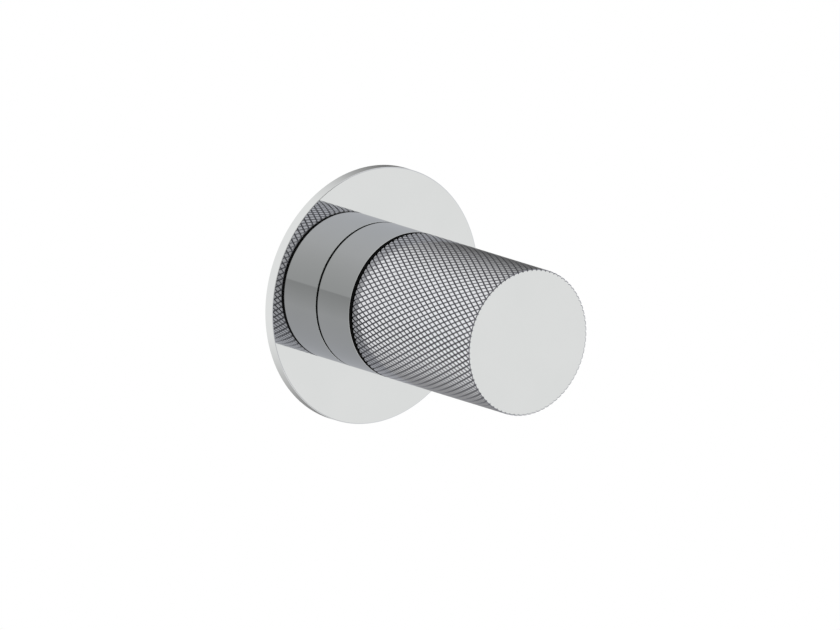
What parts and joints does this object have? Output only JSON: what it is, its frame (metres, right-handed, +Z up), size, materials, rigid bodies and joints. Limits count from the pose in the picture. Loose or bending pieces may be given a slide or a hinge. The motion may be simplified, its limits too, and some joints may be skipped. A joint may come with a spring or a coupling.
{
  "type": "wall-mounted remote control tap",
  "caption": "Round wall control for a remote tap outlet: flat round plate, smooth collar and a long diamond-knurled cylindrical handle on a quarter-turn valve.",
  "frame": {"origin": "on the tap's axis in the wall plane, at the outer end of the pipe thread behind the plate", "axes": "+Y into the wall along the tap's axis, so the handle points along -Y; +Z up; +X to the right as the user faces the wall"},
  "size_m": [0.07, 0.093, 0.07],
  "materials": {
    "polished_chrome": "mirror-polished chrome plate",
    "knurled_chrome": "chrome plate over diamond knurling, end face polished",
    "turned_brass": "fine turned",
    "seal_rubber": "moulded, matt",
    "black_plastic": "moulded, matt black",
    "white_plastic": "turned, natural white",
    "disc_ceramic": "lapped",
    "spring_steel": "plain steel"
  },
  "bodies": {
    "fixed": {"wall_plate": "polished_chrome", "plate_gasket": "seal_rubber", "collar": "polished_chrome", "collar_seal": "seal_rubber", "mounting_sleeve": "turned_brass", "guide_bush": "white_plastic", "glide_ring": "black_plastic", "headwork_body": "turned_brass", "body_seal": "seal_rubber", "seat_seal": "seal_rubber", "fixed_disc": "disc_ceramic"},
    "turning": {"handle": "knurled_chrome", "spline_adapter": "turned_brass", "adapter_ring": "seal_rubber", "adapter_screw": "spring_steel", "grub_screw": "spring_steel", "spindle": "turned_brass", "spindle_seal_inner": "seal_rubber", "spindle_seal_outer": "seal_rubber", "thrust_washer": "white_plastic", "circlip": "spring_steel", "disc_driver": "turned_brass", "moving_disc": "disc_ceramic"}
  },
  "joints": [
    {"name": "handle_turn", "type": "hinge", "parent": "fixed", "child": "turning", "pos_m": [0, -0.03, 0], "axis": [0, -1, 0], "range_deg": [0, 90]}
  ]
}
